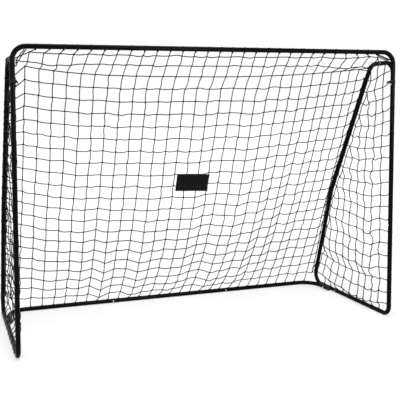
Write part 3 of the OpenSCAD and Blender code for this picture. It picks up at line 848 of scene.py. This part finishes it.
def make_side(name, side):
    places, held, names, ties = side_net(side)
    shaken = chance.normal(0, SIDE_SHAKE, places.shape) * ~held[:, None] * SHAKE_SHARES
    fallen = settle(places + shaken, held, in_groups(ties), passes=150, rounds=14,
        floor=LOWEST_KNOT, lean=-side * INWARD_LEAN[side])
    inward = (SIDE_X - side * fallen[:, 0]) / MOST_BOW[side]
    fallen[:, 0] = side * (SIDE_X - MOST_BOW[side] * np.tanh(inward))
    panel = Piece()
    ends = fallen[[[i, j] for i, j, _ in ties]]
    lengths = np.array([[length] for _, _, length in ties])
    panel.tubes(strands(ends, lengths, wave=0.003, most_slack=0.08), ACROSS, CORD_R)
    add_knots(panel, fallen[~held], BACK, (side, 0, 0))
    posts, stays = (fallen[[names[a, b] for b in range(SIDE_ROWS)]] for a in (0, "stay"))
    add_loops(panel, [(side * SIDE_X, FRONT_Y, z) for z in posts[:, 2]], UP, BACK)
    stay_loops(panel, stays, side, -BACK)
    for end, z in (("top", BRANCH_Z), ("foot", LOW_Z)):
        tied = np.array([fallen[names[key]] for key in names if key[1] == end])
        centres = tied * (1, 1, 0) + (0, 0, z)
        add_loops(panel, centres, BACK, UP if end == "foot" else -UP)
    add_knots(panel, fallen[held], BACK, (side, 0, 0), SMALL_KNOT)
    panel.build(f"{name}_netting", TWINE, [f"net_side_{name}"])


for name, side in SIDES:
    make_side(name, side)


# ---- Corner cords ----

# How far from the corner each cord leaves the crossbar; its lower end's distances in from the
# post and back, and its height; and how far it sags
CORNER_CORDS = {
    -1: ((0.068, 0.0185, 0.006, 1.4150, 0.006), (0.060, 0.0180, 0.004, 1.4300, 0.010)),
    1: ((0.098, 0.0040, 0.030, 1.4690, 0.004), (0.106, 0.0045, 0.036, 1.4685, 0.009),
        (0.092, 0.0060, 0.022, 1.4700, 0.001))}
SAG_WAY = {-1: np.array([-0.7, 0, -0.3]), 1: -UP}
CORNER_TIE = np.array([0.5, -0.85])
CORNER_POINTS, CORNER_WAVE = 12, 0.0008


def make_corner_cords(name, side):
    """The roof's border, drawn across the upper corner between the crossbar and the post."""
    cords = Piece()
    for start, inset, back, height, sag in CORNER_CORDS[side]:
        first = np.array([side * (SIDE_X - start), *(TOP_BAR + REACH * CORNER_TIE)])
        last = np.array([side * (SIDE_X - inset), FRONT_Y + back, height])
        t = np.linspace(0, 1, CORNER_POINTS)[:, None]
        run = first + (last - first) * t + SAG_WAY[side] * sag * 4 * t * (1 - t)
        run[1:-1] += chance.normal(0, CORNER_WAVE, run[1:-1].shape)
        cords.tubes([run], BACK, CORD_R)
        add_knots(cords, run[-1:], ACROSS, -BACK, SMALL_KNOT)
    cords.build(f"corner_cords_{name}", TWINE)


for name, side in SIDES:
    make_corner_cords(name, side)


# ---- Straps ----

# Tape: its thickness, its width, the tail's length, its gap to the tube and its section's
# corners, as shares of half its width and thickness
TAPE_T, STRAP_W, STRAP_TAIL, TAPE_CLEAR = 0.0011, 0.016, 0.030, 0.0004
SECTION = np.array([(-1, -0.6), (-0.96, -1), (0.96, -1), (1, -0.6), (1, 0.6), (0.96, 1),
    (-0.96, 1), (-1, 0.6)])
# The degrees between which it lies on the tube; where past the ring its tail begins, how much
# shorter one layer ends, and how far off the tail's middle each layer is in thicknesses
RING_FROM, RING_TO, RING_POINTS = 24, 336, 40
TAIL_START, TAIL_POINTS, TAIL_STEP, LAYER = 0.0045, 9, 0.0022, 0.53
# The power of the tail's droop, how much it narrows and how soon
DROOP_POWER, SLIM, SLIM_RATE = 1.6, 0.30, 3
# Its seam: start and end past the ring, share of the width, stitches along and across
SEAM_NEAR, SEAM_FAR, SEAM_SHARE, SEAM_LONG, SEAM_SHORT = 0.007, 0.019, 0.26, 5, 4
# A stitch: points, share of its step before it, share that it takes up, and how proud it stands
STITCH_POINTS, STITCH_GAP, STITCH_SHARE, PROUD = 6, 0.12, 0.76, 0.0003


def ribbon(piece, path, axis, widths, drop):
    """A band of tape along a path, its width along axis, each point moved by drop along axis."""
    out = unit(np.cross(unit(np.gradient(path, axis=0)), axis))
    wide = widths[:, None, None] / 2
    rings = (path[:, None] + axis * (SECTION[:, 0, None] * wide + drop[:, None, None])
        + out[:, None] * (SECTION[:, 1, None] * TAPE_T / 2))
    run = np.concatenate([[0], np.cumsum(np.linalg.norm(np.diff(path, axis=0), axis=1))])
    outline = SECTION * (STRAP_W / 2, TAPE_T / 2)
    steps = np.linalg.norm(np.diff(outline, axis=0, prepend=outline[:1]), axis=1)
    across = np.append(np.cumsum(steps), np.cumsum(steps)[-1] + TAPE_T)
    uv = np.stack(np.broadcast_arrays(run[:, None], across), -1)
    piece.sheet(rings, uv, True)
    piece.cap(rings[0][::-1])
    piece.cap(rings[-1])


def stitch_row(piece, start, end, count, proud, radius=0.00022):
    """Stitches between two points of a seam, each a short thread that dips at its ends."""
    step = (end - start) / count
    t = np.linspace(0, 1, STITCH_POINTS)[:, None]
    runs = [start + step * (k + STITCH_GAP + STITCH_SHARE * t) + proud * (4 * t * (1 - t)) ** 0.5
        for k in range(count)]
    piece.tubes(runs, unit(np.cross(step, proud)), radius, 6)


def make_strap(name, node, centre, axis, tail_dir, droop, pull=0.3):
    """Tape once round a tube, its ends sewn into a tail that droops along it and is drawn in."""
    axis, tail_dir = unit(axis), unit(tail_dir)
    other = np.cross(axis, tail_dir)
    ring_r = TUBE_R + TAPE_CLEAR + TAPE_T / 2
    tail_end = TUBE_R + STRAP_TAIL
    layer = TAPE_T * LAYER
    turn = np.radians(np.linspace(RING_FROM, RING_TO, RING_POINTS))
    ring = np.stack([np.cos(turn), np.sin(turn)], 1) * ring_r
    out_run = np.linspace(ring_r + TAIL_START, tail_end, TAIL_POINTS)
    upper, lower = (np.stack([out_run, np.full(TAIL_POINTS, off)], 1) for off in (layer, -layer))
    lower[:, 0] -= np.linspace(0, TAIL_STEP, TAIL_POINTS)
    flat = np.concatenate([upper[::-1], ring, lower])
    reach = np.clip((flat[:, 0] - ring_r) / (tail_end - ring_r), 0, 1)
    slim = STRAP_W * (1 - SLIM * np.clip(reach * SLIM_RATE, 0, 1))
    path = centre + flat[:, :1] * tail_dir + flat[:, 1:] * other
    path = path - (reach ** 2 * abs(droop) * pull)[:, None] * tail_dir
    strap = Piece()
    ribbon(strap, path, axis, slim, droop * reach ** DROOP_POWER)
    strap.build(name, TAPE, [node], sharp=50)
    seam = Piece()

    def on_tail(out, aside, face):
        share = (out - ring_r) / (tail_end - ring_r)
        return (centre + tail_dir * (out - share ** 2 * abs(droop) * pull)
            + axis * (aside + droop * share ** DROOP_POWER) + other * face * (layer + TAPE_T / 2))

    near, far, half = ring_r + SEAM_NEAR, ring_r + SEAM_FAR, STRAP_W * SEAM_SHARE
    rows = [((near, aside), (far, aside), SEAM_LONG) for aside in (-half, half)]
    rows += [((out, -half), (out, half), SEAM_SHORT) for out in (near, far)]
    for face in (-1, 1):
        for start, end, count in rows:
            stitch_row(seam, on_tail(*start, face), on_tail(*end, face), count,
                other * face * PROUD)
    seam.build(f"{name}_stitches", THREAD)


# How far each tail droops along its tube, and the pull where it isn't the usual one
POST_DROOP = {-1: (-0.026, 0.55), 1: (-0.006,)}
STAY_DROOP = 0.022
STAY_AXIS = unit([0, *(REAR_FOOT - KINK)])
post_strap_z = middle("net_strap_post_right")[2]
strap_low, strap_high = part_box("net_strap_stay_right")
stay_strap_z = (strap_low.z + strap_high.z) / 2
stay_strap_y = KINK[0] + (REAR_FOOT - KINK)[0] * (KINK[1] - stay_strap_z) / (KINK[1] - LOW_Z)
for name, side in SIDES:
    inward = (-side, 0, 0)
    make_strap(f"post_strap_{name}", f"net_strap_post_{name}",
        np.array([side * SIDE_X, FRONT_Y, post_strap_z]), UP, inward, *POST_DROOP[side])
    make_strap(f"stay_strap_{name}", f"net_strap_stay_{name}",
        np.array([side * SIDE_X, stay_strap_y, stay_strap_z]), STAY_AXIS, inward, STAY_DROOP)


# ---- Label ----

LABEL_W, LABEL_H, LABEL_T = 0.200, 0.105, 0.0010
LABEL_CELLS = (48, 28)
# The knots behind the label, its middle among them and its tilt
FIT_COLUMNS, FIT_ROWS = slice(12, 21), slice(9, 16)
LABEL_COLUMN, LABEL_ROW, LABEL_TILT = 14.60, 11.74, 0.18
# The hem's height, width and slope, the corners' lift, and how far the patch keeps off the cords
HEM, HEM_WIDE, HEM_SLOPE = 0.0007, 0.0085, 0.0012
CORNER_LIFT, LABEL_OFF = 0.0035, 0.0022
# The seam: its inset, runs of stitches along and down, stitches in a run, the thread's radius
# and its distance from the cloth
SEAM_IN, SEAM_ROWS, ROW_STITCHES = 0.0065, (16, 9), 4
SEAM_R, SEAM_OFF = 0.00024, 0.0001
# The corners' ties: their places in shares of the label; half the ring's width and depth, its
# middle's distance behind the cloth, and its cord's radius
TIE_S, TIE_T = 0.46, 0.44
RING_WIDE, RING_DEEP, RING_BACK, RING_R = 0.0022, 0.0042, 0.0025, 0.0006


def quadratic(c, r):
    return np.stack([np.ones_like(c), c, r, c * c, c * r, r * r], -1)


def label_surface():
    """A smooth surface through the knots behind the label, as a function of (column, row)."""
    column, row = np.mgrid[FIT_COLUMNS, FIT_ROWS]
    terms = quadratic((column - LABEL_COLUMN).ravel(), (row - LABEL_ROW).ravel())
    fit = np.linalg.lstsq(terms, knots[FIT_COLUMNS, FIT_ROWS].reshape(-1, 3), rcond=None)[0]
    return lambda c, r: quadratic(c, r) @ fit


def make_label():
    """A hemmed patch, tied flat to the net on the mouth's side."""
    surface = label_surface()
    origin = surface(np.zeros(1), np.zeros(1))[0]
    pull = surface(np.array([0.5, 0.0]), np.array([0.0, 0.5])) - origin
    c_size, r_size = np.linalg.norm(pull, axis=1) * 2
    columns, rows = LABEL_CELLS
    s, t = np.meshgrid(*(np.linspace(-0.5, 0.5, n + 1) for n in LABEL_CELLS), indexing="ij")
    c, r = s * LABEL_W / c_size, t * LABEL_H / r_size + s * LABEL_TILT
    base = surface(c, r)
    out = unit(np.cross(np.gradient(base, axis=1), np.gradient(base, axis=0)))
    out = out * -np.sign(out[..., 1:2].mean())
    edge = np.minimum((0.5 - np.abs(s)) * LABEL_W, (0.5 - np.abs(t)) * LABEL_H)
    hem = HEM * np.clip((HEM_WIDE - edge) / HEM_SLOPE, 0, 1)
    wave = 0.0012 * np.sin(s * 9.0 + 1.0) * np.cos(t * 7.0) + 0.0010 * np.sin(t * 16.0 + s * 5.0)
    corner = CORNER_LIFT * (np.abs(2 * s) ** 6 * np.abs(2 * t) ** 4)
    face = base + out * (CORD_R + LABEL_OFF + wave + corner + hem)[..., None]
    rear = base + out * (CORD_R + LABEL_OFF + wave + corner - LABEL_T)[..., None]
    uv = np.stack([s * LABEL_W, t * LABEL_H], -1)
    patch = Piece()
    patch.sheet(face, uv)
    patch.sheet(rear[::-1], uv[::-1])
    for a, b in ((face[:, 0], rear[:, 0]), (rear[:, -1], face[:, -1]),
            (rear[0], face[0]), (face[-1], rear[-1])):
        rim = np.stack([a, b], 1)
        patch.sheet(rim, np.stack(np.broadcast_arrays(
            np.linspace(0, LABEL_W, len(a))[:, None], [0, LABEL_T]), -1))
    label = patch.build("label_patch", CANVAS, ["net_label"], sharp=50)
    seam = Piece()

    def on_face(u, v):
        i, j = (u + 0.5) * columns, (v + 0.5) * rows
        i0, j0 = min(int(i), columns - 1), min(int(j), rows - 1)
        a, b = i - i0, j - j0
        return ((face[i0, j0] * (1 - a) + face[i0 + 1, j0] * a) * (1 - b)
            + (face[i0, j0 + 1] * (1 - a) + face[i0 + 1, j0 + 1] * a) * b)

    inset_s, inset_t = 0.5 - SEAM_IN / LABEL_W, 0.5 - SEAM_IN / LABEL_H
    corners = [(inset_s * x, inset_t * y) for x, y in CORNERS]
    proud = out.reshape(-1, 3).mean(0)
    for k, (u0, v0) in enumerate(corners):
        u1, v1 = corners[(k + 1) % 4]
        pieces = SEAM_ROWS[k % 2]
        for n in range(pieces):
            start, end = (on_face(u0 + (u1 - u0) * share, v0 + (v1 - v0) * share)
                + proud * SEAM_OFF for share in (n / pieces, (n + 1) / pieces))
            stitch_row(seam, start, end, ROW_STITCHES, proud * PROUD, SEAM_R)
    turn = np.linspace(0, TURN, LOOP_POINTS, endpoint=False)
    across = unit(np.cross(proud, UP))
    for x, y in CORNERS:
        ring = (on_face(TIE_S * x, TIE_T * y) + RING_WIDE * np.cos(turn)[:, None] * across
            - proud * RING_BACK + proud * np.sin(turn)[:, None] * RING_DEEP)
        seam.tubes([ring], np.cross(across, proud), RING_R, LOOP_SIDES, True)
    stitches = seam.build("label_stitches", THREAD)


make_label()


# ---- Weld beads ----

# Points of half the line and its radius in the tube's; the bead's radius, ripple, points to a
# ripple and sides; and a way that the line never takes
WELD_POINTS, WELD_OFF = 46, 1.02
BEAD_R, RIPPLE, RIPPLE_STEPS, BEAD_SIDES = 0.0019, 0.0004, 4, 8
OFF_THE_LINE = ACROSS * 0.3 + BACK * 0.2 + UP * 0.1


def make_weld(name, side):
    """The bead round the branch that leaves the corner's leg, along the line where they meet."""
    root = np.array([side * SIDE_X, FRONT_Y, BRANCH_Z - BRANCH_DEPTH])
    lean = math.radians(45)
    turn = np.linspace(0, math.pi, WELD_POINTS)
    across = TUBE_R * np.cos(turn)
    depth = TUBE_R * np.sin(turn)
    low = depth * (math.cos(lean) - 1) / math.sin(lean)
    high = depth * (math.cos(lean) + 1) / math.sin(lean)
    line = np.concatenate([np.stack([across, depth, low], 1),
        np.stack([across, depth, high], 1)[::-1][1:-1]])
    line = line * (WELD_OFF, WELD_OFF, 1) + root
    radius = BEAD_R + RIPPLE * np.sin(np.arange(len(line)) * TURN / RIPPLE_STEPS)
    bead = Piece()
    bead.tubes([line], OFF_THE_LINE, [[*radius, radius[0]]], BEAD_SIDES, True)
    bead.build(f"branch_weld_{name}", COAT)


for name, side in SIDES:
    make_weld(name, side)


# ---- Floor, lights and camera ----

CAMERA_AT = Vector((-1.3962, -3.5632, 1.2329))
YAW, PITCH, ROLL = (math.radians(angle) for angle in (17.017, 3.972, -0.482))
LENS, SENSOR, SHIFT = 60.008, 36, (0.14665, -0.12473)
# The light all round, and how bright the background looks
WORLD_LIGHT, BACKGROUND = 0.55, 1.0
# The floor: its reach, its glow, the glow's share near and far off, and how far those are
FLOOR_REACH, FLOOR_GLOW = 40, 1.1
NEAR_SHARE, FAR_SHARE, NEAR_FLOOR, FAR_FLOOR = 0.45, 1.0, 1.3, 3.4
# Each lamp's place, aim, size and power
LAMPS = {
    "top_light": ((-0.4, -0.6, 4.2), (0, 0, 0.5), (3.4, 2.2), 120),
    "left_light": ((-4.2, -3.0, 2.6), (0, 0, 0.7), (1.2, 2.8), 70),
    "right_light": ((4.0, -2.6, 2.0), (0, 0, 0.9), (1.2, 2.6), 60),
    "front_light": ((1.05, -4.1, 1.3), (0, 0, 0.9), (1.0, 1.0), 45)}


def make_camera():
    camera = place("camera", bpy.data.cameras.new("camera"))
    camera.data.lens, camera.data.sensor_width = LENS, SENSOR
    camera.data.shift_x, camera.data.shift_y = SHIFT
    turn = Matrix.Rotation(-YAW, 4, "Z") @ Matrix.Rotation(math.pi / 2 - PITCH, 4, "X")
    camera.matrix_world = Matrix.Translation(CAMERA_AT) @ turn @ Matrix.Rotation(ROLL, 4, "Z")
    bpy.context.scene.camera = camera


def make_world():
    world = bpy.data.worlds.new("studio")
    bpy.context.scene.world = world
    world.use_nodes = True
    sky = Nodes(world.node_tree)
    light = sky.tree.nodes["Background"]
    sky.join(light.inputs["Color"], (1, 1, 1))
    sky.join(light.inputs["Strength"], WORLD_LIGHT + sky.seen() * (BACKGROUND - WORLD_LIGHT))


def make_floor():
    mesh = bpy.data.meshes.new("floor")
    mesh.from_pydata([(x * FLOOR_REACH, y * FLOOR_REACH, 0) for x, y in CORNERS], [], [range(4)])
    floor = place("floor", mesh)
    paper = Finish("floor_paper", Specular_IOR_Level=0.0, Roughness=0.9,
        Base_Color=(0.86, 0.86, 0.86))
    off = paper.node("VectorMath", {"operation": "LENGTH"}, {0: paper.place}, "Value")
    share = NEAR_SHARE + off.ramp(NEAR_FLOOR, FAR_FLOOR) * (FAR_SHARE - NEAR_SHARE)
    glow = paper.node("Emission", {}, {"Color": (1, 1, 1), "Strength": FLOOR_GLOW})
    matt = Value(paper, paper.shader.outputs[0])
    both = paper.node("MixShader", {}, {0: share * paper.seen(), 1: matt, 2: glow})
    paper.join(paper.tree.nodes["Material Output"].inputs[0], both)
    mesh.materials.append(paper.material)


def make_lamp(name, at, aim, size, power):
    lamp = bpy.data.lights.new(name, "AREA")
    lamp.shape, lamp.size, lamp.size_y, lamp.energy = "RECTANGLE", *size, power
    item = place(name, lamp)
    item.location = at
    item.rotation_euler = (Vector(aim) - Vector(at)).to_track_quat("-Z", "Y").to_euler()


make_camera()
make_world()
make_floor()
for lamp_name, lamp in LAMPS.items():
    make_lamp(lamp_name, *lamp)

bpy.context.scene.view_settings.view_transform = "Standard"
